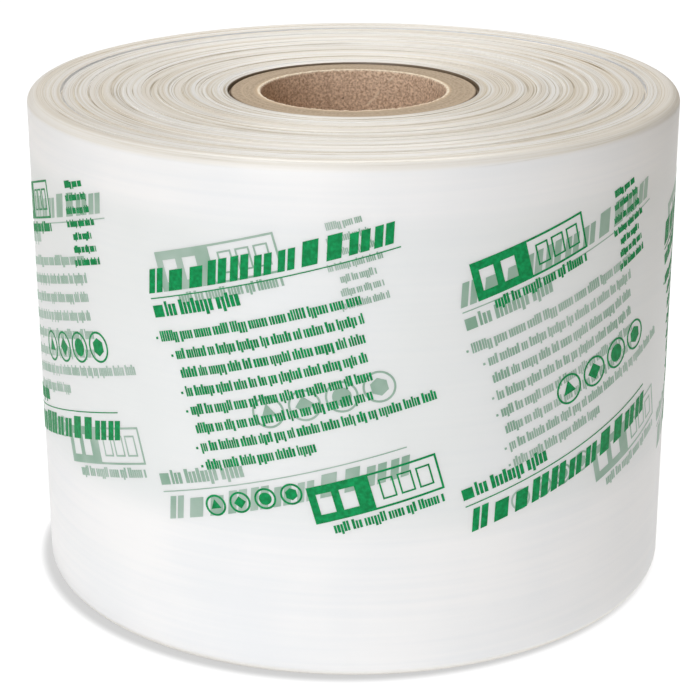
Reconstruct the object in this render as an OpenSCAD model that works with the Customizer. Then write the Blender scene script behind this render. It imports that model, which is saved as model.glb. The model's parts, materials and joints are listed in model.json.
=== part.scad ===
// Roll of air pillow film, standing on its end: milky polyethylene film
// wound on a cardboard core and printed in green. The origin is the middle
// of its base, and +Z is the winding axis.

/* [Film] */
// Width of the film, which is the height of the standing roll
film_w = 203.2; // [180:0.1:320]
// Outer diameter of the wound film
film_d = 266; // [230:1:320]
// Radius of the rounded outer rims
rim_r = 4; // [2:0.5:8]

/* [End faces] */
// Number of bands of turns that show in each end face
band_count = 26; // [12:1:40]
// How far the lowest band of turns lies below the end plane
band_drop = 0.9; // [0.2:0.1:2]
// Width of the slope from one band to the next
band_slope = 0.25; // [0.1:0.05:0.5]
// How far the innermost turns lie below the outermost at the upper end
dish_deep = 2.2; // [0.5:0.1:3]
// Distance of the main groove from the outer edge
groove_in = 14; // [8:0.5:30]
// Width of the main groove
groove_w = 0.8; // [0.4:0.1:2]
// Depth of the main groove below the end plane
groove_deep = 2; // [1.5:0.1:4]
// Width of the sunken first turns beside the core
first_w = 0.8; // [0.4:0.1:2]
// Depth of the sunken first turns below the end plane
first_deep = 2.2; // [1.5:0.1:5]

/* [Core] */
// Bore of the core, which slides over a machine's shaft
core_bore = 76.2; // [50:0.1:110]
// Wall of the core
core_wall = 12.7; // [5:0.1:16]
// How far each end of the core lies below the film's turns beside it
core_recess = 1; // [0.5:0.1:2]
// Chamfer on the core's edges
core_chamfer = 0.8; // [0.3:0.1:2]

/* [Printed columns] */
// Number of printed columns round the roll
column_count = 7; // [3:1:7]
// Turn of the front column, in degrees
column_turn = -13.7; // [-30:0.1:30]
// Slant of the printed lines, in degrees
print_slant = 15.5; // [0:0.5:20]
// Distance of the columns' upper base line below the top of the roll
print_down = 42; // [36:0.5:60]
// Length of the bold band and of the paragraph's lines
print_w = 100; // [80:1:104]
// Thickness of the ink, drawn thick enough to hold a solid
ink_t = 0.15; // [0.1:0.05:0.3]

/* [Printed marks] */
// Height of the bold band of slanted bars
bold_h = 9; // [5:0.5:12]
// Number of slanted bars in the bold band
bold_bars = 11; // [6:1:14]
// Number of lines in the paragraph
line_count = 8; // [4:1:8]
// Distance from one line to the next
line_pitch = 7.3; // [6:0.1:7.5]
// Height of the marks in a line
line_h = 2.4; // [1.5:0.1:3.5]
// Average length of a phrase-like mark in a line
phrase_w = 34; // [28:1:60]
// Indent of the paragraph below its first line
line_indent = 5; // [0:0.5:10]
// Number of short lines in the side note
note_lines = 7; // [3:1:9]
// Distance from one line of the side note to the next
note_pitch = 5; // [4:0.1:6]
// Average length of a line of the side note
note_w = 18; // [10:0.5:22]
// Number of rings in a row
ring_count = 4; // [2:1:4]
// Outer diameter of a small ring
small_ring_d = 8.6; // [5:0.1:10]
// Outer diameter of a large ring
large_ring_d = 12.4; // [8:0.1:14]
// Gap between two rings in a row
ring_gap = 1.8; // [1:0.1:3]
// Width of the drawn line of rings, frames and rules
pen_w = 0.8; // [0.5:0.1:1.2]
// Width of the framed panel
panel_w = 50; // [35:1:60]
// Height of the framed panel
panel_h = 15; // [10:0.5:16]

/* [Hidden] */

film_r = film_d / 2;
core_r = core_bore / 2 + core_wall;
round_fn = 96;
ring_fn = 24;

// How far a cut runs past the face that it opens
over = 1;

// The end face runs from the sunken first turns to the rim
face_r0 = core_r + first_w;
face_r1 = film_r - rim_r;
band_w = (face_r1 - face_r0) / band_count;

// The two ends take their bands from different stretches of one sine
top_phase = 0;
bottom_phase = 50;

// Print is laid out on the unrolled film: u along a line and v up across the
// lines, both from the middle of a column's upper base line
base_z = film_w - print_down;
column_pitch = 360 / column_count;
half_w = print_w / 2;
bar_pitch = print_w / bold_bars;
heading_w = print_w * 0.4;
heading_h = line_h * 1.4;
rule_gap = 2;
heading_gap = 5;
para_gap = 10;

// Prisms cross the film's side this deep, so that the longest mark meets it
ink_reach = 2 * (film_r - sqrt(film_r * film_r - half_w * half_w) + over);

// Text column: band on top, then rule and heading, paragraph, rings and panel
upper_rule_v = -rule_gap;
para_v = upper_rule_v - heading_gap - para_gap;
below_v = para_v - line_count * line_pitch;
small_ring_u = -half_w + small_ring_d / 2;
small_ring_v = below_v - small_ring_d;
text_panel_u = panel_w / 2 - small_ring_d;
text_panel_v = below_v - panel_h;

// Label column: panel and side note on top, then large rings, heading, rule
// and a band, which lies further left because the columns' left ends line up
label_panel_u = -18;
label_panel_v = panel_h / 2;
note_u = 33;
note_v = 12;
large_ring_u = -14;
large_ring_v = -51;
low_band_u = -18;
low_band_v = -88;
low_rule_v = low_band_v + bold_h + rule_gap;

function frac(x) = x - floor(x);

// Uneven but repeatable share from 0 to 1
function share(i, j) = frac(i * 0.618 + j * 0.377 + i * j * 0.213);

// The inner edge of band i, a little off an even spacing inside the face
function band_edge(i) =
    face_r0 + band_w * (i + (i > 0 && i < band_count ? 0.3 * sin(i * 137) : 0));

// How far band i lies below the end plane. The outer band is level with it
function band_depth(i, phase) =
    i == band_count - 1 ? 0 : band_drop * (0.5 - 0.5 * sin(i * 97 + phase));

// Depth at radius r of an end that is dished by deep towards the core
function dish_at(r, deep) = deep * (face_r1 - r) / (face_r1 - face_r0);

// Radius and depth of the corners of one end face, from the core outwards
function end_line(phase, deep) = concat(
    [[core_r, first_deep + deep], [face_r0, first_deep + deep]],
    [for (i = [0:band_count - 1]) each
        [for (r = [band_edge(i) + band_slope / 2, band_edge(i + 1) - band_slope / 2])
            [r, band_depth(i, phase) + dish_at(r, deep)]]]);

// What is cut off one end of the film: all that lies beyond its end line
module end_cut(phase, deep) {
    line = end_line(phase, deep);
    outer_r = line[len(line) - 1][0];
    polygon(concat(line,
        [[outer_r, -over], [core_r - over, -over], [core_r - over, line[0][1]]]));
}

module rim_cut() {
    difference() {
        translate([face_r1, -over]) square(rim_r + over);
        translate([face_r1, rim_r]) circle(rim_r, $fn = round_fn);
    }
}

module groove_cut() {
    translate([film_r - groove_in - groove_w / 2, -over]) square([groove_w, groove_deep + over]);
}

module one_end(phase, deep) {
    end_cut(phase, deep);
    rim_cut();
    groove_cut();
}

module film_roll() {
    color("#efefef")
        rotate_extrude($fn = round_fn)
            difference() {
                translate([core_r, 0]) square([film_r - core_r, film_w]);
                one_end(bottom_phase, 0);
                translate([0, film_w]) mirror([0, 1]) one_end(top_phase, dish_deep);
            }
}

module core() {
    c = core_chamfer;
    r0 = core_bore / 2;
    z0 = core_recess;
    z1 = film_w - dish_deep - core_recess;
    color("#b3a48e")
        rotate_extrude($fn = round_fn)
            polygon([[r0, z0 + c], [r0 + c, z0], [core_r - c, z0], [core_r, z0 + c],
                [core_r, z1 - c], [core_r - c, z1], [r0 + c, z1], [r0, z1 - c]]);
}

// Stands a flat drawing up on the film at u, v of a column
module on_film(u, v) {
    across = u * cos(print_slant) - v * sin(print_slant);
    up = u * sin(print_slant) + v * cos(print_slant);
    rotate([0, 0, across / film_r * 180 / PI])
        translate([0, -film_r, base_z + up])
            rotate([90, 0, 0])
                rotate([0, 0, print_slant])
                    linear_extrude(ink_reach, center = true)
                        children();
}

// A bar of width w and height h with its middle at u, v, its top end moved
// to the right and its bottom end to the left by lean
module bar(u, v, w, h, lean = 0) {
    on_film(u, v)
        polygon([[-w / 2 - lean, -h / 2], [w / 2 - lean, -h / 2],
            [w / 2 + lean, h / 2], [-w / 2 + lean, h / 2]]);
}

// Slanted bars in a row that stands on the line at v
module bold_band(mid_u, v) {
    for (i = [0:bold_bars - 1])
        bar(mid_u - half_w + bar_pitch * (i + 0.5), v + bold_h / 2,
            bar_pitch * (0.45 + 0.35 * share(i, 1)), bold_h, bold_h / 6);
}

// A thin rule at v, and a short thick line at heading_v
module rule_and_heading(mid_u, v, heading_v) {
    bar(mid_u, v, print_w, pen_w);
    bar(mid_u - half_w + heading_w / 2, heading_v, heading_w, heading_h);
}

// One line of phrase-like marks from u0 to u1
module phrases(row, v, u0, u1) {
    count = max(1, round((u1 - u0) / phrase_w));
    pitch = (u1 - u0) / count;
    for (i = [0:count - 1])
        bar(u0 + pitch * (i + 0.5), v, pitch * (0.82 + 0.13 * share(i, row)), line_h);
}

// The lines end unevenly, and the last one is half a line
module paragraph() {
    for (row = [0:line_count - 1]) {
        short = row == line_count - 1 ? half_w : print_w * 0.24 * share(row, 2);
        phrases(row, para_v - row * line_pitch, -half_w + (row > 0 ? line_indent : 0),
            half_w - short);
    }
}

module side_note() {
    for (row = [0:note_lines - 1])
        bar(note_u, note_v - row * note_pitch, note_w * (0.7 + 0.5 * share(row, 3)), line_h * 0.6);
}

module rings(u, v, d) {
    for (i = [0:ring_count - 1])
        on_film(u + i * (d + ring_gap), v)
            difference() {
                circle(d = d, $fn = ring_fn);
                circle(d = d - 2 * pen_w, $fn = ring_fn);
            }
}

// A frame with one solid half and one open half
module panel(u, v) {
    on_film(u, v)
        difference() {
            square([panel_w, panel_h], center = true);
            translate([0, -panel_h / 2 + pen_w])
                square([panel_w / 2 - pen_w, panel_h - 2 * pen_w]);
        }
}

module text_column() {
    bold_band(0, 0);
    rule_and_heading(0, upper_rule_v, upper_rule_v - heading_gap);
    paragraph();
    rings(small_ring_u, small_ring_v, small_ring_d);
    panel(text_panel_u, text_panel_v);
}

module label_column() {
    panel(label_panel_u, label_panel_v);
    side_note();
    rings(large_ring_u, large_ring_v, large_ring_d);
    rule_and_heading(low_band_u, low_rule_v, low_rule_v + heading_gap);
    bold_band(low_band_u, low_band_v);
}

// A text column at the front, and from there label and text columns in turn
module all_columns() {
    for (i = [0:column_count - 1]) {
        place = i - floor(column_count / 2);
        rotate([0, 0, column_turn + place * column_pitch])
            if (place % 2 == 0) text_column(); else label_column();
    }
}

module green_print() {
    color("#149a52")
        intersection() {
            all_columns();
            difference() {
                translate([0, 0, rim_r])
                    cylinder(r = film_r + ink_t, h = film_w - 2 * rim_r, $fn = round_fn);
                cylinder(r = film_r, h = film_w, $fn = round_fn);
            }
        }
}

film_roll();
core();
green_print();
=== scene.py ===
# %% [markdown]
# # A roll of air pillow film
# This lesson dresses a roll of packing film: milky polyethylene film wound
# on a cardboard tube, with green print on its side. The solids of the roll
# are loaded first and give the main sizes. Each piece is then modelled again
# with finer detail in the same place, and gets a material worked out from
# what the real one is made of.

# %% Load the frame
import json
import math

import bmesh
import bpy
from mathutils import Matrix, Vector, noise


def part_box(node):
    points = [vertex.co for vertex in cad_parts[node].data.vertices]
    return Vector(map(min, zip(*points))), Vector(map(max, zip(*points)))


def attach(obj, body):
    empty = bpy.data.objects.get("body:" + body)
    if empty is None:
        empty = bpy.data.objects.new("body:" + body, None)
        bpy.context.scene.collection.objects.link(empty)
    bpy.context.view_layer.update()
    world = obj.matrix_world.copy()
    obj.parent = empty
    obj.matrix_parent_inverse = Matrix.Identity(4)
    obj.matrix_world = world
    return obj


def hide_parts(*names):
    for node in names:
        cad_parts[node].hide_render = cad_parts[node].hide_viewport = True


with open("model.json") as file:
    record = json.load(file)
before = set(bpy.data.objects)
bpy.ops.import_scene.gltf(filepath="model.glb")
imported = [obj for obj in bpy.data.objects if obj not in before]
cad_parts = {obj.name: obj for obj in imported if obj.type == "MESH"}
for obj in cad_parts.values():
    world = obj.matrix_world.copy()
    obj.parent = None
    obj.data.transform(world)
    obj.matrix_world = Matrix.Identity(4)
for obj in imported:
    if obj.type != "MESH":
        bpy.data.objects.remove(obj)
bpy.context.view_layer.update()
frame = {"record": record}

MM = 0.001
film_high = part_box("film_roll")[1]
core_low, core_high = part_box("core")
ink_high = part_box("green_print")[1]
mounts = {m["name"]: m for m in frame["record"]["mounts"]}

film_r = film_high[0]
film_w = film_high[2]
core_r = core_high[0]
bore_r = mounts["core_bore"]["dims"]["r_mm"] * MM
print("film radius", round(film_r, 4), "width", round(film_w, 4), "core", round(core_r, 4), bore_r)
print("the solid ink stands off by", round((ink_high[0] - film_r) / MM, 3), "mm")

# %% [markdown]
# The camera comes early, so that every later step can be looked at. Its
# place was found by fitting circles of the roll's rims and core to their
# ellipses in the photograph: a long lens, a good arm's length away, looking
# down by 20 degrees. A view matrix is put together from three plain turns.

# %% Camera
CAMERA_AWAY = 6.111 * film_r
CAMERA_UP = 2.860 * film_r
LOOK_DOWN = math.radians(19.92)
CAMERA_YAW = math.radians(0.11)
CAMERA_ROLL = math.radians(-0.09)
FOCAL_IN_FRAMES = 2005.2 / 700

camera = bpy.data.objects.new("camera", bpy.data.cameras.new("camera"))
bpy.context.collection.objects.link(camera)
camera.data.sensor_width = 36
camera.data.lens = camera.data.sensor_width * FOCAL_IN_FRAMES
turn = Matrix.Rotation(CAMERA_YAW, 4, "Z") @ Matrix.Rotation(math.pi / 2 - LOOK_DOWN, 4, "X")
turn = turn @ Matrix.Rotation(CAMERA_ROLL, 4, "Z")
camera.matrix_world = Matrix.Translation((0, -CAMERA_AWAY, CAMERA_UP)) @ turn
bpy.context.scene.camera = camera
print("lens", round(camera.data.lens, 1), "mm")

# %% [markdown]
# Every colour below is written as an sRGB hex value, the way a colour picker
# shows it. Blender's nodes want linear light, so one function turns the one
# into the other. A second small function adds any node with its settings
# and links, which keeps the material cells short.

# %% Colour and node helpers
def linear(hex_colour):
    parts = [int(hex_colour[i:i + 2], 16) / 255 for i in (1, 3, 5)]
    return [p / 12.92 if p <= 0.04045 else ((p + 0.055) / 1.055) ** 2.4 for p in parts] + [1.0]


def add(tree, kind, settings=None, **inputs):
    """Adds a node. An input is a value, or a socket to link from."""
    node = tree.nodes.new(kind)
    for name, value in (settings or {}).items():
        setattr(node, name, value)
    for name, value in inputs.items():
        key = int(name[1:]) if name[0] == "i" and name[1:].isdigit() else name.replace("_", " ")
        socket = node.inputs[key]
        if isinstance(value, bpy.types.NodeSocket):
            tree.links.new(value, socket)
        else:
            socket.default_value = value
    return node


def new_material(name):
    material = bpy.data.materials.new(name)
    material.use_nodes = True
    material.node_tree.nodes.clear()
    return material, material.node_tree


def only_selected(obj):
    bpy.ops.object.select_all(action="DESELECT")
    obj.select_set(True)
    bpy.context.view_layer.objects.active = obj


def set_material(obj, material):
    obj.data.materials.clear()
    obj.data.materials.append(material)


# %% [markdown]
# The studio is plain: a pale floor that looks white, dim light from all
# round, a large soft box at the front left, and smaller ones above and
# behind. The floor glows
# a little of its own, which keeps shadows off it as on a light table, and
# lights the lower side of the roll. It dims to either side, so that the
# flanks of the roll turn a little darker and show its roundness. It also
# dims right beside the roll, which paints a thin soft shadow where the roll stands.

# %% Studio
FLOOR_SIZE = 12.0
SHADE_MIDDLE = (-3 * MM, -1 * MM, 0)
SHADE_FROM = film_r - 2 * MM
SHADE_TO = film_r + 4 * MM
GLOW = 0.95
GLOW_IN_SHADE = 0.5
BRIGHT_SHIFT = 0.05
DIM_FROM = 0.34
DIM_TO = 0.86
bpy.ops.object.select_all(action="DESELECT")
bpy.ops.mesh.primitive_plane_add(size=FLOOR_SIZE, location=(0, 0, 0))
floor = bpy.context.object
floor.name = "floor"
paper, tree = new_material("pale_backdrop_paper")
shader = add(tree, "ShaderNodeBsdfDiffuse", Color=linear("#7c7c7c"), Roughness=1.0)
SOFT_STEP = {"interpolation_type": "SMOOTHSTEP"}
COLOURS = {"data_type": "RGBA"}
spot = add(tree, "ShaderNodeTexCoord").outputs["Object"]
across = add(tree, "ShaderNodeSeparateXYZ", Vector=spot).outputs[0]
across = add(tree, "ShaderNodeMath", {"operation": "ADD"}, i0=across, i1=BRIGHT_SHIFT).outputs[0]
aside = add(tree, "ShaderNodeMath", {"operation": "ABSOLUTE"}, i0=across).outputs[0]
dim = add(tree, "ShaderNodeMapRange", SOFT_STEP, Value=aside, From_Min=DIM_FROM,
    From_Max=DIM_TO).outputs[0]
glow_colour = add(tree, "ShaderNodeMix", COLOURS, Factor=dim, A=linear("#ffffff"), B=linear("#b4a896"))
# Painted shadow: the glow dims in a soft disc under and just round the roll, a little to the left and front
shade_spot = add(tree, "ShaderNodeVectorMath", {"operation": "DISTANCE"}, i0=spot, i1=SHADE_MIDDLE)
strength = add(tree, "ShaderNodeMapRange", SOFT_STEP, Value=shade_spot.outputs[1], From_Min=SHADE_FROM,
    From_Max=SHADE_TO, To_Min=GLOW_IN_SHADE, To_Max=GLOW).outputs[0]
glow = add(tree, "ShaderNodeEmission", Color=glow_colour.outputs[2], Strength=strength)
both = add(tree, "ShaderNodeAddShader", i0=shader.outputs[0], i1=glow.outputs[0])
add(tree, "ShaderNodeOutputMaterial", Surface=both.outputs[0])
set_material(floor, paper)

WORLD_LIGHT = 0.16
world = bpy.data.worlds.new("studio")
bpy.context.scene.world = world
world.use_nodes = True
world.node_tree.nodes["Background"].inputs["Color"].default_value = linear("#fff4e6")
world.node_tree.nodes["Background"].inputs["Strength"].default_value = WORLD_LIGHT


def soft_box(name, azimuth, elevation, away, size, power, colour):
    """An area light that faces the middle of the roll. Azimuth 0 is the front, 90 the right."""
    a = math.radians(azimuth)
    e = math.radians(elevation)
    middle = Vector((0, 0, film_w / 2))
    place = middle + away * Vector((math.sin(a) * math.cos(e), -math.cos(a) * math.cos(e), math.sin(e)))
    light = bpy.data.objects.new(name, bpy.data.lights.new(name, "AREA"))
    bpy.context.collection.objects.link(light)
    light.data.shape = "SQUARE"
    light.data.size = size
    light.data.energy = power
    light.data.color = linear(colour)[:3]
    light.location = place
    light.rotation_euler = (middle - place).to_track_quat("-Z", "Y").to_euler()
    return light


soft_box("key_light", -20, 12, 2.6, 1.6, 31.0, "#f7faff")
soft_box("top_light", -40, 68, 2.4, 1.3, 19.0, "#ffffff")
soft_box("back_light", 180, 50, 1.8, 0.8, 16.0, "#ffffff")
bpy.context.scene.view_settings.view_transform = "Standard"

# %% [markdown]
# The film's end faces are not flat. Each turn of film ends a little higher
# or lower than the next, and where the winding wandered, whole bands of
# turns stand proud or sink. A lathe would turn such a shape, so the section
# of the roll is drawn once and spun round the axis: a plane with its outer
# corners bevelled round, its face deleted, its long edges subdivided.

# %% The film's section
RIM_R = 4.0 * MM
TOP_CUTS = 168
BOTTOM_CUTS = 70
SIDE_CUTS = 26
RIM_SEGMENTS = 8
SPIN_STEPS = 320
TINY = 0.02 * MM


def select_edges(obj, wanted):
    """Selects the edges of a mesh in edit mode whose middle fits a test."""
    bpy.ops.mesh.select_all(action="DESELECT")
    bpy.ops.object.mode_set(mode="OBJECT")
    mesh = obj.data
    count = 0
    for edge in mesh.edges:
        a, b = (mesh.vertices[i].co for i in edge.vertices)
        edge.select = wanted((a + b) / 2)
        if edge.select:
            mesh.vertices[edge.vertices[0]].select = True
            mesh.vertices[edge.vertices[1]].select = True
            count += 1
    bpy.ops.object.mode_set(mode="EDIT")
    return count


def spin_section(name, r0, r1, z0, z1):
    """Adds a rectangle in the XZ plane, ready to be shaped and spun."""
    bpy.ops.object.select_all(action="DESELECT")
    bpy.ops.mesh.primitive_plane_add(size=1, location=(0, 0, 0))
    obj = bpy.context.object
    obj.name = name
    bpy.ops.object.mode_set(mode="EDIT")
    bpy.ops.transform.rotate(value=-math.pi / 2, orient_axis="X", center_override=(0, 0, 0))
    bpy.ops.transform.resize(value=(r1 - r0, 1, z1 - z0), center_override=(0, 0, 0))
    bpy.ops.transform.translate(value=((r0 + r1) / 2, 0, (z0 + z1) / 2))
    bpy.ops.mesh.select_mode(type="VERT")
    return obj


def select_points(obj, wanted):
    """Selects the points of a mesh in edit mode that fit a test."""
    bpy.ops.mesh.select_all(action="DESELECT")
    bpy.ops.object.mode_set(mode="OBJECT")
    for v in obj.data.vertices:
        v.select = wanted(v.co)
    bpy.ops.object.mode_set(mode="EDIT")


def cut_edges(obj, wanted, cuts):
    """Cuts the edges that fit a test, in two goes where one can't make so many cuts."""
    found = select_edges(obj, wanted)
    if cuts > 100:
        bpy.ops.mesh.subdivide(number_cuts=1)
        cuts = cuts // 2
    bpy.ops.mesh.subdivide(number_cuts=cuts)
    return found


film = spin_section("wound_film", core_r, film_r, 0, film_w)
select_points(film, lambda p: p.x > film_r - TINY)
bpy.ops.mesh.bevel(offset=RIM_R, segments=RIM_SEGMENTS, affect="VERTICES")
bpy.ops.mesh.select_all(action="SELECT")
bpy.ops.mesh.delete(type="ONLY_FACE")
flat_end = film_r - RIM_R
print("end edges", cut_edges(film, lambda p: p.z > film_w - TINY and p.x < flat_end, TOP_CUTS))
print("base edges", cut_edges(film, lambda p: p.z < TINY and p.x < flat_end, BOTTOM_CUTS))
print("side edges", cut_edges(film, lambda p: p.x > film_r - TINY, SIDE_CUTS))
bpy.ops.object.mode_set(mode="OBJECT")
print("points in the section", len(film.data.vertices))

# %% [markdown]
# The bands lie where the solid model has them, with the same uneven spacing,
# and are two thirds as deep. The groove and the sunken first turns are the
# same as there. Rings of points are moved onto the edges of each band and
# groove before the spin, because a step that falls between two rings would
# come out as a soft slope.

# %% Bands of turns
BAND_COUNT = 26
BAND_DROP = 0.6 * MM
BAND_SLOPE = 0.25 * MM
GROOVE_LIP = 0.1 * MM
GROOVE_IN = 14 * MM
GROOVE_W = 0.8 * MM
GROOVE_DEEP = 2.0 * MM
FIRST_W = 0.8 * MM
FIRST_DEEP = 2.2 * MM
DISH_DEEP = 2.2 * MM
face_r0 = core_r + FIRST_W
band_w = (flat_end - face_r0) / BAND_COUNT
groove_r = film_r - GROOVE_IN


def sin_deg(x):
    return math.sin(math.radians(x))


def band_edge(i):
    wander = 0.3 * sin_deg(i * 137) if 0 < i < BAND_COUNT else 0
    return face_r0 + band_w * (i + wander)


def band_depth(i, phase):
    return 0 if i == BAND_COUNT - 1 else BAND_DROP * (0.5 - 0.5 * sin_deg(i * 97 + phase))


edges = [band_edge(i) for i in range(BAND_COUNT + 1)]
sharp = [core_r + FIRST_W * 0.9, groove_r - GROOVE_W / 2 - GROOVE_LIP, groove_r - GROOVE_W / 2]
sharp += [groove_r + GROOVE_W / 2, groove_r + GROOVE_W / 2 + GROOVE_LIP]
sharp += [e + s * BAND_SLOPE / 2 for e in edges[:-1] for s in (-1, 1)]


def snap_rings(z):
    """Moves the nearest points of one end's line onto the sharp radii."""
    line = sorted((v for v in film.data.vertices if abs(v.co.z - z) < TINY), key=lambda v: v.co.x)
    free = line[1:-1]
    for r in sorted(sharp):
        if not free:
            break
        best = min(free, key=lambda v: abs(v.co.x - r))
        best.co.x = r
        free.remove(best)
    xs = sorted(v.co.x for v in line)
    closest = min(b - a for a, b in zip(xs, xs[1:]))
    print("rings from", round(xs[0], 4), "to", round(xs[-1], 4), "closest", round(closest, 6))


snap_rings(film_w)
snap_rings(0)


def smooth_step(x):
    x = min(max(x, 0.0), 1.0)
    return x * x * (3 - 2 * x)


def dish_at(r):
    """The upper end sinks towards the core, by the full depth beside it."""
    return DISH_DEEP * min(max((flat_end - r) / (flat_end - face_r0), 0.0), 1.0)


def depth_at(r, phase):
    """How far a flat end lies below its plane at radius r, without the fine detail."""
    if r >= flat_end:
        return 0.0
    if abs(r - groove_r) <= GROOVE_W / 2 + TINY:
        return GROOVE_DEEP
    if r < face_r0 - BAND_SLOPE / 2 - TINY:
        return FIRST_DEEP
    i = max(k for k in range(BAND_COUNT) if k == 0 or edges[k] <= r)
    here = band_depth(i, phase)
    after = r - (edges[i] + BAND_SLOPE / 2)
    before = (edges[i + 1] - BAND_SLOPE / 2) - r
    if after < 0:
        last = band_depth(i - 1, phase) if i else FIRST_DEEP
        return last + (here - last) * smooth_step(0.5 + (r - edges[i]) / BAND_SLOPE)
    if before < 0 and i + 1 < BAND_COUNT:
        following = band_depth(i + 1, phase)
        return here + (following - here) * smooth_step(0.5 + (r - edges[i + 1]) / BAND_SLOPE)
    return here


# %% [markdown]
# The spin turns the section into a solid ring. After it, the points of the
# ends are pushed down by the band depths, a little unevenly: the bands are
# traces of a wandering film edge, so each one rises and falls slowly on its
# way round. Noise that changes fast across the turns and slowly along them
# gives that. The side gets the same kind of wander, inwards only, because
# the print lies on it.

# %% Spin and roughen the film
# Across and up count noise steps in a millimetre, round counts them in a radian
FINE_RISE = 0.09 * MM
FINE_ACROSS = 2.1
FINE_ROUND = 1.1
SLOW_RISE = 0.18 * MM
SLOW_ACROSS = 0.35
SLOW_ROUND = 0.5
MEAN_DROP = 0.1 * MM
SIDE_DIP = 0.05 * MM
SIDE_UP = 0.05
SIDE_ROUND = 1.5
SMOOTH_FILM = math.radians(28)


def uneven(r, angle, phase):
    """How far a point rises or sinks: quick across the turns, slow along them."""
    x = math.cos(angle)
    y = math.sin(angle)
    slow = Vector((x * SLOW_ROUND, y * SLOW_ROUND, r / MM * SLOW_ACROSS + phase))
    fine = Vector((x * FINE_ROUND, y * FINE_ROUND, r / MM * FINE_ACROSS + phase))
    return noise.noise(slow) * SLOW_RISE + noise.noise(fine) * FINE_RISE


def spin_round(obj):
    bpy.ops.object.mode_set(mode="EDIT")
    bpy.ops.mesh.select_all(action="SELECT")
    bpy.ops.mesh.spin(steps=SPIN_STEPS, angle=2 * math.pi, center=(0, 0, 0), axis=(0, 0, 1))
    bpy.ops.mesh.select_all(action="SELECT")
    bpy.ops.mesh.remove_doubles(threshold=0.001 * MM)
    bpy.ops.mesh.normals_make_consistent(inside=False)
    bpy.ops.object.mode_set(mode="OBJECT")


only_selected(film)
spin_round(film)
TOP_PHASE = 0
BOTTOM_PHASE = 50
for v in film.data.vertices:
    r = math.hypot(v.co.x, v.co.y)
    angle = math.atan2(v.co.y, v.co.x)
    near_rim = smooth_step((film_r - r) / (2 * RIM_R))
    if v.co.z > film_w - RIM_R - TINY:
        drop = depth_at(r, TOP_PHASE) + dish_at(r)
        v.co.z -= max(0.0, drop + near_rim * (uneven(r, angle, TOP_PHASE) + MEAN_DROP))
    elif v.co.z < RIM_R + TINY:
        drop = depth_at(r, BOTTOM_PHASE)
        v.co.z += max(0.0, drop + near_rim * (uneven(r, angle, BOTTOM_PHASE) + MEAN_DROP))
    elif r > film_r - TINY:
        wander = Vector((math.cos(angle) * SIDE_ROUND, math.sin(angle) * SIDE_ROUND, v.co.z / MM * SIDE_UP))
        dip = SIDE_DIP * (0.5 + 0.5 * noise.noise(wander))
        v.co.x *= 1 - dip / r
        v.co.y *= 1 - dip / r
only_selected(film)
bpy.ops.object.shade_smooth_by_angle(angle=SMOOTH_FILM)
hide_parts("film_roll")
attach(film, "root")
print("film triangles", sum(len(p.vertices) - 2 for p in film.data.polygons))

# %% [markdown]
# The film is low density polyethylene. One layer is clear, and hundreds of
# turns with a breath of air between them scatter the light, so the roll
# looks milky, with light that spreads under the surface. The gloss is soft.
# On the ends the cut edges of the turns show as fine rings. Some of them
# are painted grey or beige, as shade that sits between turns. Those rings
# also scatter light across themselves, so the ends shine in a fan towards
# the light and away from it. Anisotropy with a tangent round the axis gives
# that, turned by a quarter so that the wide way of the gloss lies across the turns.
#
# Each pattern starts from a size on the roll, as a width across the turns
# and a length along them. A pixel of the picture is about 0.4 mm. A turn of
# film is about 0.05 mm thick, too fine to show, so turns are drawn in groups
# of eight.

# %% Film material
PRINT_TOP = 182 * MM
PRINT_FOOT = 62 * MM
PRODUCT = {"operation": "MULTIPLY"}
PRODUCT_SUM = {"operation": "MULTIPLY_ADD"}
SIZE_ONLY = {"operation": "ABSOLUTE"}
TINTED = {"data_type": "RGBA", "blend_type": "MULTIPLY"}
FAN = 0.7
QUARTER_TURN = 0.25
# Pattern sizes in millimetres
BROAD_BAND = (4.17, 286)
TURN_GROUP = (0.4167, 167)
GREY_LINE = (1.82, 333)
GREY_PATCH = (7.69, 29.4)
STREAK = (2.38, 111)
CLOUD = 62.5
CRINKLE = 3.85
LOOSE_PLACE = 33.3


def steps_per_metre(size_mm):
    """The scale that gives a noise or cell pattern features of this size."""
    return 1 / (size_mm * MM)


def ring_noise(tree, xyz, across, size, detail=2.0):
    """Noise with one size across the turns, and a longer one on the way round."""
    width, length = size
    across = add(tree, "ShaderNodeMath", PRODUCT, i0=across, i1=steps_per_metre(width))
    x = add(tree, "ShaderNodeMath", PRODUCT, i0=xyz[0], i1=steps_per_metre(length))
    y = add(tree, "ShaderNodeMath", PRODUCT, i0=xyz[1], i1=steps_per_metre(length))
    spot = add(tree, "ShaderNodeCombineXYZ", X=x.outputs[0], Y=y.outputs[0], Z=across.outputs[0])
    return add(tree, "ShaderNodeTexNoise", Vector=spot.outputs[0], Scale=1.0, Detail=detail).outputs[0]


def place_and_radius(tree):
    """The place on the roll, its x, y and z, and its distance from the axis."""
    place = add(tree, "ShaderNodeTexCoord").outputs["Object"]
    xyz = add(tree, "ShaderNodeSeparateXYZ", Vector=place).outputs
    square_x = add(tree, "ShaderNodeMath", PRODUCT, i0=xyz[0], i1=xyz[0]).outputs[0]
    square_r = add(tree, "ShaderNodeMath", PRODUCT_SUM, i0=xyz[1], i1=xyz[1], i2=square_x).outputs[0]
    return place, xyz, add(tree, "ShaderNodeMath", {"operation": "SQRT"}, i0=square_r).outputs[0]


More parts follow.
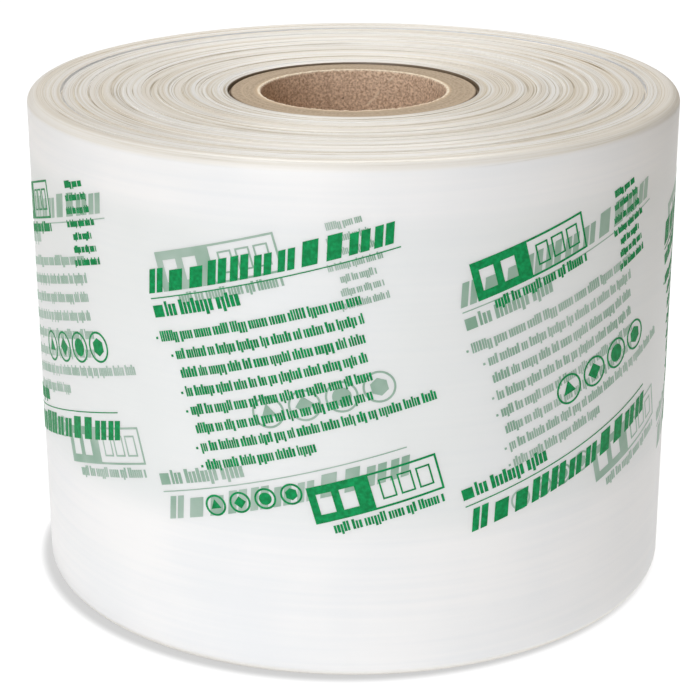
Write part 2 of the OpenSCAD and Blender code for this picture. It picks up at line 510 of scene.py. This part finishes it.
def end_face_colour(tree, xyz, radius):
    """Turn groups, 4 mm bands, thin broken lines of painted shade between turns, painted light at the rim.
    """
    broad = ring_noise(tree, xyz, radius, BROAD_BAND)
    broad = add(tree, "ShaderNodeMapRange", SOFT_STEP, Value=broad, From_Min=0.36, From_Max=0.62).outputs[0]
    colour = add(tree, "ShaderNodeMix", COLOURS, Factor=broad, A=linear("#eee7db"), B=linear("#f9f7f3"))
    fine = ring_noise(tree, xyz, radius, TURN_GROUP, 3.0)
    fine = add(tree, "ShaderNodeMapRange", SOFT_STEP, Value=fine, From_Min=0.3, From_Max=0.6).outputs[0]
    fine = add(tree, "ShaderNodeMix", COLOURS, Factor=fine, A=linear("#e9e4d9"), B=linear("#ffffff"))
    # Painted shade: thin grey lines between turns, dark in some patches and faint in others
    lines = ring_noise(tree, xyz, radius, GREY_LINE, 1.0)
    lines = add(tree, "ShaderNodeMath", {"operation": "SUBTRACT"}, i0=lines, i1=0.5).outputs[0]
    lines = add(tree, "ShaderNodeMath", SIZE_ONLY, i0=lines).outputs[0]
    clear = add(tree, "ShaderNodeMapRange", SOFT_STEP, Value=lines, From_Min=0.0, From_Max=0.032).outputs[0]
    broken = ring_noise(tree, xyz, radius, GREY_PATCH)
    broken = add(tree, "ShaderNodeMapRange", SOFT_STEP, Value=broken, From_Min=0.38, From_Max=0.66)
    shadow = add(tree, "ShaderNodeMix", COLOURS, Factor=broken.outputs[0], A=linear("#efeae0"),
        B=linear("#b5a994"))
    lines = add(tree, "ShaderNodeMix", COLOURS, Factor=clear, A=shadow.outputs[2], B=linear("#ffffff"))
    colour = add(tree, "ShaderNodeMix", TINTED, Factor=1.0, A=colour.outputs[2], B=fine.outputs[2])
    colour = add(tree, "ShaderNodeMix", TINTED, Factor=1.0, A=colour.outputs[2], B=lines.outputs[2])
    # Painted light: the end is painted paler towards the rounded rim, where the rim catches the light
    rim_painted_light = add(tree, "ShaderNodeMapRange", SOFT_STEP, Value=radius, From_Min=film_r - 7 * MM,
        From_Max=film_r - 3 * MM, To_Max=0.55).outputs[0]
    rim = add(tree, "ShaderNodeMix", COLOURS, Factor=rim_painted_light, A=colour.outputs[2], B=linear("#f0ece4"))
    return rim.outputs[2]


def side_colour(tree, place, xyz):
    """Faint clouds, streaks that run round the roll, and a haze from the print of all turns below."""
    streaks = ring_noise(tree, xyz, xyz[2], STREAK, 3.0)
    clouds = add(tree, "ShaderNodeTexNoise", Vector=place, Scale=steps_per_metre(CLOUD), Detail=2.0)
    clouds = clouds.outputs[0]
    cloudy = add(tree, "ShaderNodeMath", PRODUCT_SUM, i0=streaks, i1=0.5, i2=clouds).outputs[0]
    cloudy = add(tree, "ShaderNodeMapRange", SOFT_STEP, Value=cloudy, From_Min=0.5, From_Max=1.0).outputs[0]
    colour = add(tree, "ShaderNodeMix", COLOURS, Factor=cloudy, A=linear("#ecedee"), B=linear("#f4f3f2"))
    above = add(tree, "ShaderNodeMapRange", SOFT_STEP, Value=xyz[2], From_Min=PRINT_TOP + 6 * MM,
        From_Max=PRINT_TOP - 8 * MM).outputs[0]
    below = add(tree, "ShaderNodeMapRange", SOFT_STEP, Value=xyz[2], From_Min=PRINT_FOOT - 10 * MM,
        From_Max=PRINT_FOOT + 8 * MM).outputs[0]
    haze = add(tree, "ShaderNodeMath", PRODUCT, i0=above, i1=below).outputs[0]
    haze = add(tree, "ShaderNodeMath", PRODUCT, i0=haze, i1=clouds).outputs[0]
    hazy = add(tree, "ShaderNodeMix", COLOURS, Factor=haze, A=colour.outputs[2], B=linear("#dfe3e2"))
    return hazy.outputs[2]


def film_material():
    material, tree = new_material("milky_polyethylene_film")
    place, xyz, radius = place_and_radius(tree)
    normal = add(tree, "ShaderNodeNewGeometry").outputs["Normal"]
    facing = add(tree, "ShaderNodeSeparateXYZ", Vector=normal).outputs[2]
    facing = add(tree, "ShaderNodeMath", SIZE_ONLY, i0=facing).outputs[0]
    on_end = add(tree, "ShaderNodeMapRange", SOFT_STEP, Value=facing, From_Min=0.06, From_Max=0.5).outputs[0]
    end = end_face_colour(tree, xyz, radius)
    side = side_colour(tree, place, xyz)
    colour = add(tree, "ShaderNodeMix", COLOURS, Factor=on_end, A=side, B=end).outputs[2]

    # First turns: they sink into a gap beside the core, painted dark for its shade and its dust
    gap_shade_and_dust = add(tree, "ShaderNodeMapRange", SOFT_STEP, Value=radius, From_Min=core_r + 1.5 * MM,
        From_Max=core_r + 0.8 * MM).outputs[0]
    colour = add(tree, "ShaderNodeMix", COLOURS, Factor=gap_shade_and_dust, A=colour, B=linear("#7b6a55")).outputs[2]

    # Crinkles: loose film edges pucker here and there, and catch the light
    crinkle = add(tree, "ShaderNodeTexNoise", Vector=place, Scale=steps_per_metre(CRINKLE), Detail=3.0)
    crinkle = crinkle.outputs[0]
    loose = add(tree, "ShaderNodeTexNoise", Vector=place, Scale=steps_per_metre(LOOSE_PLACE), Detail=1.0)
    loose = loose.outputs[0]
    loose = add(tree, "ShaderNodeMapRange", SOFT_STEP, Value=loose, From_Min=0.45, From_Max=0.7).outputs[0]
    loose = add(tree, "ShaderNodeMath", PRODUCT, i0=loose, i1=on_end).outputs[0]
    pucker = add(tree, "ShaderNodeMath", PRODUCT, i0=crinkle, i1=loose).outputs[0]
    fine = ring_noise(tree, xyz, radius, TURN_GROUP, 3.0)
    height = add(tree, "ShaderNodeMath", PRODUCT_SUM, i0=pucker, i1=3.5, i2=fine).outputs[0]
    turn_bump = add(tree, "ShaderNodeBump", Strength=0.45, Distance=0.1 * MM, Height=height).outputs[0]
    round_axis = add(tree, "ShaderNodeTangent", {"direction_type": "RADIAL", "axis": "Z"}).outputs[0]
    fan = add(tree, "ShaderNodeMath", PRODUCT, i0=on_end, i1=FAN).outputs[0]
    shader = add(tree, "ShaderNodeBsdfPrincipled", Base_Color=colour, Roughness=0.38, IOR=1.51,
        Subsurface_Weight=0.35, Subsurface_Scale=0.005, Subsurface_Radius=(1.0, 1.0, 1.0),
        Anisotropic=fan, Anisotropic_Rotation=QUARTER_TURN, Tangent=round_axis, Normal=turn_bump)
    add(tree, "ShaderNodeOutputMaterial", Surface=shader.outputs[0])
    return material


set_material(film, film_material())

# %% [markdown]
# The tube is wound from strips of brown paper board. It is modelled like the
# film, as a section that is spun, with edges that are rounded by handling.
# At the bore the cut tears the board, so a lip of small tufts is left there.

# %% Core
CORE_EDGE = 0.9 * MM
LIP_IN = 1.0 * MM
LIP_WIDE = 1.2 * MM
LIP_DEEP = 1.5 * MM
FUZZ_RISE = 0.45 * MM
FUZZ_PER_METRE = 420
SMOOTH_BOARD = math.radians(35)
core_z0 = core_low[2]
core_z1 = core_high[2]
tube = spin_section("board_core", bore_r, core_r, core_z0, core_z1)
bpy.ops.mesh.select_all(action="SELECT")
bpy.ops.mesh.bevel(offset=CORE_EDGE, segments=4, affect="VERTICES")
bpy.ops.mesh.select_all(action="SELECT")
bpy.ops.mesh.delete(type="ONLY_FACE")
cut_edges(tube, lambda p: p.z > core_z1 - TINY or p.z < core_z0 + TINY, 20)
cut_edges(tube, lambda p: p.x < bore_r + TINY, 40)
bpy.ops.object.mode_set(mode="OBJECT")
only_selected(tube)
spin_round(tube)
for v in tube.data.vertices:
    r = math.hypot(v.co.x, v.co.y)
    lip = smooth_step(1 - abs(r - bore_r - LIP_IN) / LIP_WIDE)
    fuzz = max(0.0, 0.3 + noise.noise(v.co * FUZZ_PER_METRE)) * FUZZ_RISE * lip
    if v.co.z > core_z1 - LIP_DEEP:
        v.co.z += fuzz
    elif v.co.z < core_z0 + LIP_DEEP:
        v.co.z -= fuzz
only_selected(tube)
bpy.ops.object.shade_smooth_by_angle(angle=SMOOTH_BOARD)
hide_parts("core")
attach(tube, "root")
print("core triangles", sum(len(p.vertices) - 2 for p in tube.data.polygons))


# %% [markdown]
# Kraft board is pressed from brown, grey and recycled fibres. Its cut ends
# are rubbed smooth and show the plies as faint rings. In the bore the face
# is rough chipboard with specks. The inner strip of board winds up the bore,
# and where its edge was torn a pale, frayed line is left, like a screw thread.
#
# A paper fibre is a few hundredths of a millimetre wide, too fine to show.
# Tufts of fibres and specks are drawn a millimetre wide, plies nearly so.

# %% Core material
# Pattern sizes in millimetres
FIBRE_TUFT = 1.11
SPECK = 1.0
PIT_PITCH = 10.0
FRAY = 13.3
PLY = (0.909, 100)
SEAM_CLIMB = 1.13
SEAM_LEVEL = 0.1786
SEAM_TURN = SEAM_CLIMB * 2 * math.pi * bore_r


def cut_board_colour(tree, place, xyz, radius, fibres):
    """The cut ends: plies as faint rings, a torn pale edge at the bore, a dark outer edge of dirt and
    painted shade.
    """
    mottle = add(tree, "ShaderNodeMapRange", SOFT_STEP, Value=fibres, From_Min=0.3, From_Max=0.7).outputs[0]
    colour = add(tree, "ShaderNodeMix", COLOURS, Factor=mottle, A=linear("#a18b73"), B=linear("#c6b39a"))
    plies = ring_noise(tree, xyz, radius, PLY)
    plies = add(tree, "ShaderNodeMapRange", SOFT_STEP, Value=plies, From_Min=0.4, From_Max=0.75).outputs[0]
    colour = add(tree, "ShaderNodeMix", COLOURS, Factor=plies, A=colour.outputs[2], B=linear("#c6b196"))
    worn = add(tree, "ShaderNodeMapRange", SOFT_STEP, Value=radius, From_Min=bore_r + 3.0 * MM,
        From_Max=bore_r + 0.8 * MM).outputs[0]
    colour = add(tree, "ShaderNodeMix", COLOURS, Factor=worn, A=colour.outputs[2], B=linear("#dcc19f"))
    torn = add(tree, "ShaderNodeMapRange", SOFT_STEP, Value=radius, From_Min=bore_r + 1.8 * MM,
        From_Max=bore_r + 1.0 * MM).outputs[0]
    mottle = add(tree, "ShaderNodeMapRange", SOFT_STEP, Value=fibres, From_Min=0.3, From_Max=0.55).outputs[0]
    torn = add(tree, "ShaderNodeMath", PRODUCT, i0=torn, i1=mottle).outputs[0]
    colour = add(tree, "ShaderNodeMix", COLOURS, Factor=torn, A=colour.outputs[2], B=linear("#fbeed6"))
    # Dirt and painted shade: the outer edge is darkened, as the gap beside the film
    edge_dirt_and_shade = add(tree, "ShaderNodeMapRange", SOFT_STEP, Value=radius, From_Min=core_r - 0.9 * MM,
        From_Max=core_r - 0.1 * MM).outputs[0]
    rim = add(tree, "ShaderNodeMix", COLOURS, Factor=edge_dirt_and_shade, A=colour.outputs[2], B=linear("#6d5943"))
    return rim.outputs[2]


def seam_share(tree, place, xyz, specks):
    """How far a place in the bore lies on the frayed seam, from 0 to 1."""
    angle = add(tree, "ShaderNodeMath", {"operation": "ARCTAN2"}, i0=xyz[0], i1=xyz[1]).outputs[0]
    level = add(tree, "ShaderNodeMath", PRODUCT_SUM, i0=angle, i1=-SEAM_CLIMB * bore_r, i2=xyz[2]).outputs[0]
    level = add(tree, "ShaderNodeMath", {"operation": "SUBTRACT"}, i0=level, i1=SEAM_LEVEL).outputs[0]
    level = add(tree, "ShaderNodeMath", {"operation": "WRAP"}, i0=level, i1=-SEAM_TURN / 2,
        i2=SEAM_TURN / 2).outputs[0]
    level = add(tree, "ShaderNodeMath", PRODUCT_SUM, i0=specks, i1=1.6 * MM, i2=level).outputs[0]
    level = add(tree, "ShaderNodeMath", SIZE_ONLY, i0=level).outputs[0]
    seam = add(tree, "ShaderNodeMapRange", SOFT_STEP, Value=level, From_Min=1.0 * MM,
        From_Max=0.4 * MM).outputs[0]
    frayed = add(tree, "ShaderNodeTexNoise", Vector=place, Scale=steps_per_metre(FRAY), Detail=2.0)
    frayed = frayed.outputs[0]
    frayed = add(tree, "ShaderNodeMapRange", SOFT_STEP, Value=frayed, From_Min=0.42, From_Max=0.6).outputs[0]
    return add(tree, "ShaderNodeMath", PRODUCT, i0=seam, i1=frayed).outputs[0]


def core_material():
    material, tree = new_material("wound_kraft_board")
    place, xyz, radius = place_and_radius(tree)
    fibres = add(tree, "ShaderNodeTexNoise", Vector=place, Scale=steps_per_metre(FIBRE_TUFT), Detail=4.0,
        Roughness=0.65)
    fibres = fibres.outputs[0]
    specks = add(tree, "ShaderNodeTexNoise", Vector=place, Scale=steps_per_metre(SPECK), Detail=3.0,
        Roughness=0.7)
    specks = specks.outputs[0]
    end = cut_board_colour(tree, place, xyz, radius, fibres)

    # Bore: rough grey chipboard with dark and light specks
    mottle = add(tree, "ShaderNodeMapRange", SOFT_STEP, Value=specks, From_Min=0.32, From_Max=0.68)
    inside = add(tree, "ShaderNodeMix", COLOURS, Factor=mottle.outputs[0], A=linear("#b7977d"),
        B=linear("#fae1c7"))
    pits = add(tree, "ShaderNodeTexVoronoi", Vector=place, Scale=steps_per_metre(PIT_PITCH))
    pits = pits.outputs["Distance"]
    pits = add(tree, "ShaderNodeMapRange", SOFT_STEP, Value=pits, From_Min=0.04, From_Max=0.09).outputs[0]
    inside = add(tree, "ShaderNodeMix", COLOURS, Factor=pits, A=linear("#6a4f3c"), B=inside.outputs[2])
    seam = seam_share(tree, place, xyz, specks)
    inside = add(tree, "ShaderNodeMix", COLOURS, Factor=seam, A=inside.outputs[2], B=linear("#fff2dc"))

    in_bore = add(tree, "ShaderNodeMapRange", SOFT_STEP, Value=radius, From_Min=bore_r + 0.5 * MM,
        From_Max=bore_r + 0.15 * MM).outputs[0]
    colour = add(tree, "ShaderNodeMix", COLOURS, Factor=in_bore, A=end, B=inside.outputs[2]).outputs[2]
    height = add(tree, "ShaderNodeMath", {"operation": "ADD"}, i0=fibres, i1=specks).outputs[0]
    bump = add(tree, "ShaderNodeBump", Strength=0.5, Distance=0.2 * MM, Height=height).outputs[0]
    shader = add(tree, "ShaderNodeBsdfPrincipled", Base_Color=colour, Roughness=0.85, IOR=1.45, Normal=bump)
    add(tree, "ShaderNodeOutputMaterial", Surface=shader.outputs[0])
    return material


set_material(tube, core_material())

# %% [markdown]
# The print is first drawn flat, the way it lies on a printing plate: u runs
# along a line and v across the lines. Two plates are drawn once each, one
# with a band on top and a paragraph, one with a framed panel on top. The
# blocks and lines lie where the solid print has them, which these marks
# replace. The marks themselves are finer, and the strokes of a line stand
# taller than the plain bars there.

# %% Sizes of the print
COLUMN_COUNT = 7
COLUMN_TURN = math.radians(-13.7)
PRINT_SLANT = math.radians(15.5)
BASE_Z = film_w - 42 * MM
PRINT_W = 100 * MM
BOLD_H = 9 * MM
BOLD_BARS = 11
LINE_COUNT = 8
LINE_PITCH = 7.3 * MM
LINE_H = 2.4 * MM
LINE_INDENT = 5 * MM
NOTE_LINES = 7
NOTE_PITCH = 5 * MM
NOTE_W = 18 * MM
RING_COUNT = 4
SMALL_RING = 8.6 * MM
LARGE_RING = 12.4 * MM
RING_GAP = 1.8 * MM
PEN_W = 0.8 * MM
PANEL_W = 50 * MM
PANEL_H = 15 * MM
RULE_GAP = 2 * MM
HEADING_GAP = 5 * MM
PARA_GAP = 10 * MM
RULE_W = PEN_W * 0.5
WIDE_BAR = 0.7
BAR_SLIT = 0.9 * MM
BULLET = 0.9 * MM
BULLET_GAP = 1.8 * MM
TEXT_PEN = 0.62 * MM
HEADING_PEN = 1.05 * MM
NOTE_PEN = 0.42 * MM
PANEL_PEN = 0.7 * MM
PILLOW_W = 5.6 * MM
PILLOW_H = 8.4 * MM
PILLOW_PITCH = 7.2 * MM
FIRST_PILLOW = 4.6 * MM
PANEL_LINE_DOWN = 3.6 * MM
PANEL_LINE_IN = 6 * MM

half_w = PRINT_W / 2
bar_pitch = PRINT_W / BOLD_BARS
heading_w = PRINT_W * 0.4
heading_h = LINE_H * 1.4
para_v = -RULE_GAP - HEADING_GAP - PARA_GAP
below_v = para_v - LINE_COUNT * LINE_PITCH


def share(i, j):
    """An uneven but repeatable share from 0 to 1."""
    x = i * 0.618 + j * 0.377 + i * j * 0.213
    return x - math.floor(x)


# %% [markdown]
# Every mark starts as a grid, a circle or a plane that is added at its size.
# Long marks are grids of short cells, because a long flat face could not bend
# round the roll. A new primitive comes in selected, so its points can be
# picked up at once, moved, and its unwanted cells deleted.

# %% Marks on a plate
LONGEST_CELL = 3 * MM


def start_plate(name):
    bpy.ops.object.select_all(action="DESELECT")
    bpy.ops.mesh.primitive_plane_add(size=1, location=(0, 0, 0))
    plate = bpy.context.object
    plate.name = name
    bpy.ops.object.mode_set(mode="EDIT")
    bpy.ops.mesh.select_mode(type="VERT")
    bpy.ops.mesh.delete(type="VERT")
    return plate


def picked(plate):
    """The selected points and faces of the plate, as it is edited."""
    mesh = bmesh.from_edit_mesh(plate.data)
    return mesh, [v for v in mesh.verts if v.select], [f for f in mesh.faces if f.select]


def bar(plate, u, v, w, h, lean=0.0):
    """A bar with its middle at u, v, whose top is moved right by lean and its foot left."""
    cells = max(1, math.ceil(w / LONGEST_CELL))
    bpy.ops.mesh.select_all(action="DESELECT")
    bpy.ops.mesh.primitive_grid_add(x_subdivisions=cells, y_subdivisions=1, size=1)
    mesh, points, faces = picked(plate)
    for p in points:
        up = 1 if p.co.y > 0 else -1
        p.co = (u + p.co.x * w + up * lean, v + p.co.y * h, 0)


def strokes(plate, u0, u1, v, h, row, pen=TEXT_PEN):
    """A line of upright strokes in groups, as fine print looks from a step away."""
    edges = [u0]
    heights = []
    n = 0
    while edges[-1] < u1 - 2 * pen:
        group = 3 + int(6 * share(n, row + 5))
        for k in range(group):
            if edges[-1] > u1 - 2 * pen:
                break
            wide = pen * (1.0 + 0.55 * share(n, row))
            kind = share(n, row + 2)
            low = -0.66 if kind > 0.12 else -1.02
            high = 1.02 if kind > 0.74 else 0.66
            heights.append((low, high))
            edges.append(edges[-1] + wide)
            gap = pen * (0.38 + 0.18 * share(n, row + 7)) if k < group - 1 else pen * 1.7
            edges.append(edges[-1] + gap)
            n += 1
    edges.pop()
    bpy.ops.mesh.select_all(action="DESELECT")
    bpy.ops.mesh.primitive_grid_add(x_subdivisions=len(edges) - 1, y_subdivisions=1, size=1)
    mesh, points, faces = picked(plate)
    columns = sorted({round(p.co.x, 6) for p in points})
    number = {x: i for i, x in enumerate(columns)}
    gaps = [f for f in faces if number[round(min(p.co.x for p in f.verts), 6)] % 2 == 1]
    for p in points:
        i = number[round(p.co.x, 6)]
        low, high = heights[i // 2]
        p.co = (edges[i], v + h * (high if p.co.y > 0 else low), 0)
    bpy.ops.mesh.select_all(action="DESELECT")
    for f in gaps:
        f.select_set(True)
    bmesh.update_edit_mesh(plate.data)
    bpy.ops.mesh.select_mode(type="FACE")
    bpy.ops.mesh.delete(type="ONLY_FACE")
    bpy.ops.mesh.select_mode(type="VERT")
    return len(heights)


def ring(plate, u, v, d, inner_corners):
    """A ring with a plain shape inside, which has the given number of corners."""
    bpy.ops.mesh.select_all(action="DESELECT")
    bpy.ops.mesh.primitive_circle_add(vertices=40, radius=d / 2, fill_type="NGON", location=(u, v, 0))
    bpy.ops.mesh.inset(thickness=PEN_W)
    bpy.ops.mesh.delete(type="FACE")
    bpy.ops.mesh.select_all(action="DESELECT")
    inner = d * 0.29
    bpy.ops.mesh.primitive_circle_add(vertices=inner_corners, radius=inner, fill_type="NGON",
        location=(u, v, 0))
    bpy.ops.mesh.poke()


test = start_plate("test_plate")
print("strokes in a line", strokes(test, 0, 30 * MM, 0, LINE_H, 1))
bar(test, 0, 10 * MM, 10 * MM, 3 * MM, 1 * MM)
ring(test, 0, 20 * MM, SMALL_RING, 4)
bpy.ops.object.mode_set(mode="OBJECT")
print("faces of three test marks", len(test.data.polygons))
bpy.data.objects.remove(test)

# %% [markdown]
# A frame is a grid whose border is inset by the width of the pen. The cells
# inside are deleted on the open side. On the solid side only a few of the
# middle row go, which leaves pale windows.

# %% Larger marks
WINDOW_COLUMNS = (1, 2, 4, 5)
MIDDLE_ROW = 0.56


def frame_mark(plate, u, v, w, h, pen, solid_to=None):
    """A frame. Left of solid_to it is filled with ink, apart from its windows."""
    cells = max(1, math.ceil(w / LONGEST_CELL))
    bpy.ops.mesh.select_all(action="DESELECT")
    bpy.ops.mesh.primitive_grid_add(x_subdivisions=cells, y_subdivisions=3, size=1)
    mesh, points, faces = picked(plate)
    for p in points:
        row = p.co.y if abs(p.co.y) > 0.3 else math.copysign(MIDDLE_ROW / 2, p.co.y)
        p.co = (u + p.co.x * w, v + row * h, 0)
    bmesh.update_edit_mesh(plate.data)
    bpy.ops.mesh.inset(thickness=pen, use_boundary=True)
    mesh, points, faces = picked(plate)
    open_cells = []
    for f in faces:
        middle = f.calc_center_median()
        column = int((middle.x - u + w / 2) / w * cells)
        window = column in WINDOW_COLUMNS and abs(middle.y - v) < h / 6
        if solid_to is None or middle.x > solid_to - TINY or window:
            open_cells.append(f)
    bpy.ops.mesh.select_all(action="DESELECT")
    bpy.ops.mesh.select_mode(type="FACE")
    for f in open_cells:
        f.select_set(True)
    bmesh.update_edit_mesh(plate.data)
    bpy.ops.mesh.delete(type="FACE")
    bpy.ops.mesh.select_mode(type="VERT")


def bold_band(plate, mid_u, v):
    """Slanted bars that stand on the line at v. Wide ones are split in two."""
    for i in range(BOLD_BARS):
        w = bar_pitch * (0.6 + 0.28 * share(i, 1))
        u = mid_u - half_w + bar_pitch * (i + 0.5)
        h = BOLD_H if i % 4 in (0, 3) else BOLD_H * 0.86
        lean = h / 6
        if w > bar_pitch * WIDE_BAR:
            half = (w - BAR_SLIT) / 2
            bar(plate, u - (half + BAR_SLIT) / 2, v + h / 2, half, h, lean)
            bar(plate, u + (half + BAR_SLIT) / 2, v + h / 2, half, h, lean)
        else:
            bar(plate, u, v + h / 2, w, h, lean)


def rule_and_heading(plate, mid_u, v, heading_v):
    bar(plate, mid_u, v, PRINT_W, RULE_W)
    side = heading_h * 1.35
    start = mid_u - half_w
    bar(plate, start + side / 2, heading_v, side, side)
    strokes(plate, start + side + MM, start + heading_w, heading_v, heading_h, 3, HEADING_PEN)


def paragraph(plate):
    total = 0
    for row in range(LINE_COUNT):
        short = half_w if row == LINE_COUNT - 1 else PRINT_W * 0.24 * share(row, 2)
        v = para_v - row * LINE_PITCH
        start = -half_w + (LINE_INDENT if row else 0)
        if row % 3 != 2:
            bar(plate, start - BULLET_GAP, v, BULLET, BULLET)
        total += strokes(plate, start, half_w - short, v, LINE_H, row)
    return total


def side_note(plate, u, v):
    for row in range(NOTE_LINES):
        w = NOTE_W * (0.7 + 0.5 * share(row, 3))
        strokes(plate, u - w / 2, u + w / 2, v - row * NOTE_PITCH, LINE_H * 0.7, row, NOTE_PEN)


def rings(plate, u, v, d):
    for i in range(RING_COUNT):
        ring(plate, u + i * (d + RING_GAP), v, d, (3, 4, 24, 6)[i])


def panel(plate, u, v):
    """A framed panel: one solid half, and one open half with outlined pillows."""
    frame_mark(plate, u, v, PANEL_W, PANEL_H, PEN_W, u)
    for i in range(3):
        frame_mark(plate, u + FIRST_PILLOW + PILLOW_PITCH * i, v, PILLOW_W, PILLOW_H, PEN_W * 0.8)
    line_v = v - PANEL_H / 2 - PANEL_LINE_DOWN
    strokes(plate, u - PANEL_W / 2 + PANEL_LINE_IN, u + PANEL_W / 2, line_v, LINE_H, 4, PANEL_PEN)


# %% [markdown]
# The two plates are put together from these marks, as a printer lays out a
# job. On the roll they take turns, one column each.

# %% Two plates
LABEL_U = -18 * MM
NOTE_AT = (33 * MM, 12 * MM)
LARGE_RINGS_AT = (-14 * MM, -51 * MM)
LOW_BAND_V = -88 * MM


def text_plate():
    plate = start_plate("text_plate")
    bold_band(plate, 0, 0)
    rule_and_heading(plate, 0, -RULE_GAP, -RULE_GAP - HEADING_GAP)
    print("strokes in the paragraph", paragraph(plate))
    rings(plate, -half_w + SMALL_RING / 2, below_v - SMALL_RING, SMALL_RING)
    panel(plate, PANEL_W / 2 - SMALL_RING, below_v - PANEL_H)
    bpy.ops.object.mode_set(mode="OBJECT")
    return plate


def label_plate():
    plate = start_plate("label_plate")
    panel(plate, LABEL_U, PANEL_H / 2)
    side_note(plate, *NOTE_AT)
    rings(plate, *LARGE_RINGS_AT, LARGE_RING)
    rule_v = LOW_BAND_V + BOLD_H + RULE_GAP
    rule_and_heading(plate, LABEL_U, rule_v, rule_v + HEADING_GAP)
    bold_band(plate, LABEL_U, LOW_BAND_V)
    bpy.ops.object.mode_set(mode="OBJECT")
    return plate


plates = [text_plate(), label_plate()]
print("faces on the plates", [len(p.data.polygons) for p in plates])

# %% [markdown]
# A plate is copied once for every column and each copy is bent round the
# roll: the distance along the film becomes an angle. Solidify then gives the
# ink a thickness that reaches just into the film. Film is see-through, so
# the print of the turn below shows as a pale ghost. On it the two plates
# have changed places, because a turn is not a whole number of columns long.

# %% Wrap the print
INK_RISE = 0.10 * MM
GHOST_RISE = 0.05 * MM
INK_SINK = 0.14 * MM


def wrap(plate, turn, rise):
    """Bends a copy of a plate round the roll, turned about the axis."""
    copy = bpy.data.objects.new(plate.name, plate.data.copy())
    bpy.context.collection.objects.link(copy)
    r = film_r + rise
    for p in copy.data.vertices:
        across = p.co.x * math.cos(PRINT_SLANT) - p.co.y * math.sin(PRINT_SLANT)
        up = p.co.x * math.sin(PRINT_SLANT) + p.co.y * math.cos(PRINT_SLANT)
        a = turn + across / film_r
        p.co = (r * math.sin(a), -r * math.cos(a), BASE_Z + up)
    return copy


def print_round(name, swapped, rise):
    """All columns of one turn of film, joined to one piece with a thickness."""
    copies = []
    for i in range(COLUMN_COUNT):
        place = i - COLUMN_COUNT // 2
        kind = (place + swapped) % 2
        turn = COLUMN_TURN + place * 2 * math.pi / COLUMN_COUNT
        copies.append(wrap(plates[kind], turn, rise))
    bpy.ops.object.select_all(action="DESELECT")
    for c in copies:
        c.select_set(True)
    bpy.context.view_layer.objects.active = copies[0]
    bpy.ops.object.join()
    piece = bpy.context.object
    piece.name = name
    only_selected(piece)
    thick = piece.modifiers.new("ink", "SOLIDIFY")
    thick.thickness = INK_SINK + rise
    thick.offset = -1
    bpy.ops.object.modifier_apply(modifier=thick.name)
    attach(piece, "root")
    print(name, "triangles", sum(len(p.vertices) - 2 for p in piece.data.polygons))
    return piece


ink = print_round("printed_ink", 0, INK_RISE)
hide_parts("green_print")
ghost = print_round("print_of_turn_below", 1, GHOST_RISE)
for plate in plates:
    bpy.data.objects.remove(plate)

# %% [markdown]
# The ink is a flexographic one, rolled on thin from a rubber plate. It dries
# half glossy and a little uneven. The print of the turn below is seen through
# a milky layer, so it keeps the film's own gloss and shows a pale grey green
# that comes and goes with the air between the turns. The cells of a printing
# plate are a tenth of a millimetre, too fine to show, so the uneven lay of
# the ink is drawn in spots of a millimetre and a half.

# %% Ink materials
# Pattern sizes in millimetres
INK_SPOT = 1.54
AIR_PATCH = 22.2


def ink_material():
    material, tree = new_material("flexographic_green_ink")
    place = add(tree, "ShaderNodeTexCoord").outputs["Object"]
    lay = add(tree, "ShaderNodeTexNoise", Vector=place, Scale=steps_per_metre(INK_SPOT), Detail=3.0)
    tint = add(tree, "ShaderNodeValToRGB", Fac=lay.outputs[0])
    tint.color_ramp.elements[0].position = 0.35
    tint.color_ramp.elements[0].color = linear("#007a41")
    tint.color_ramp.elements[1].position = 0.7
    tint.color_ramp.elements[1].color = linear("#069c58")
    shader = add(tree, "ShaderNodeBsdfPrincipled", Base_Color=tint.outputs[0], Roughness=0.5, IOR=1.48,
        Specular_IOR_Level=0.16)
    add(tree, "ShaderNodeOutputMaterial", Surface=shader.outputs[0])
    return material


def ghost_material():
    material, tree = new_material("ink_under_milky_film")
    place = add(tree, "ShaderNodeTexCoord").outputs["Object"]
    air = add(tree, "ShaderNodeTexNoise", Vector=place, Scale=steps_per_metre(AIR_PATCH), Detail=3.0)
    tint = add(tree, "ShaderNodeValToRGB", Fac=air.outputs[0])
    tint.color_ramp.elements[0].position = 0.34
    tint.color_ramp.elements[0].color = linear("#86b297")
    tint.color_ramp.elements[1].position = 0.74
    tint.color_ramp.elements[1].color = linear("#bcd3c5")
    shader = add(tree, "ShaderNodeBsdfPrincipled", Base_Color=tint.outputs[0], Roughness=0.38, IOR=1.51,
        Subsurface_Weight=0.35, Subsurface_Scale=0.004, Subsurface_Radius=(1.0, 1.0, 1.0))
    add(tree, "ShaderNodeOutputMaterial", Surface=shader.outputs[0])
    return material


set_material(ink, ink_material())
set_material(ghost, ghost_material())
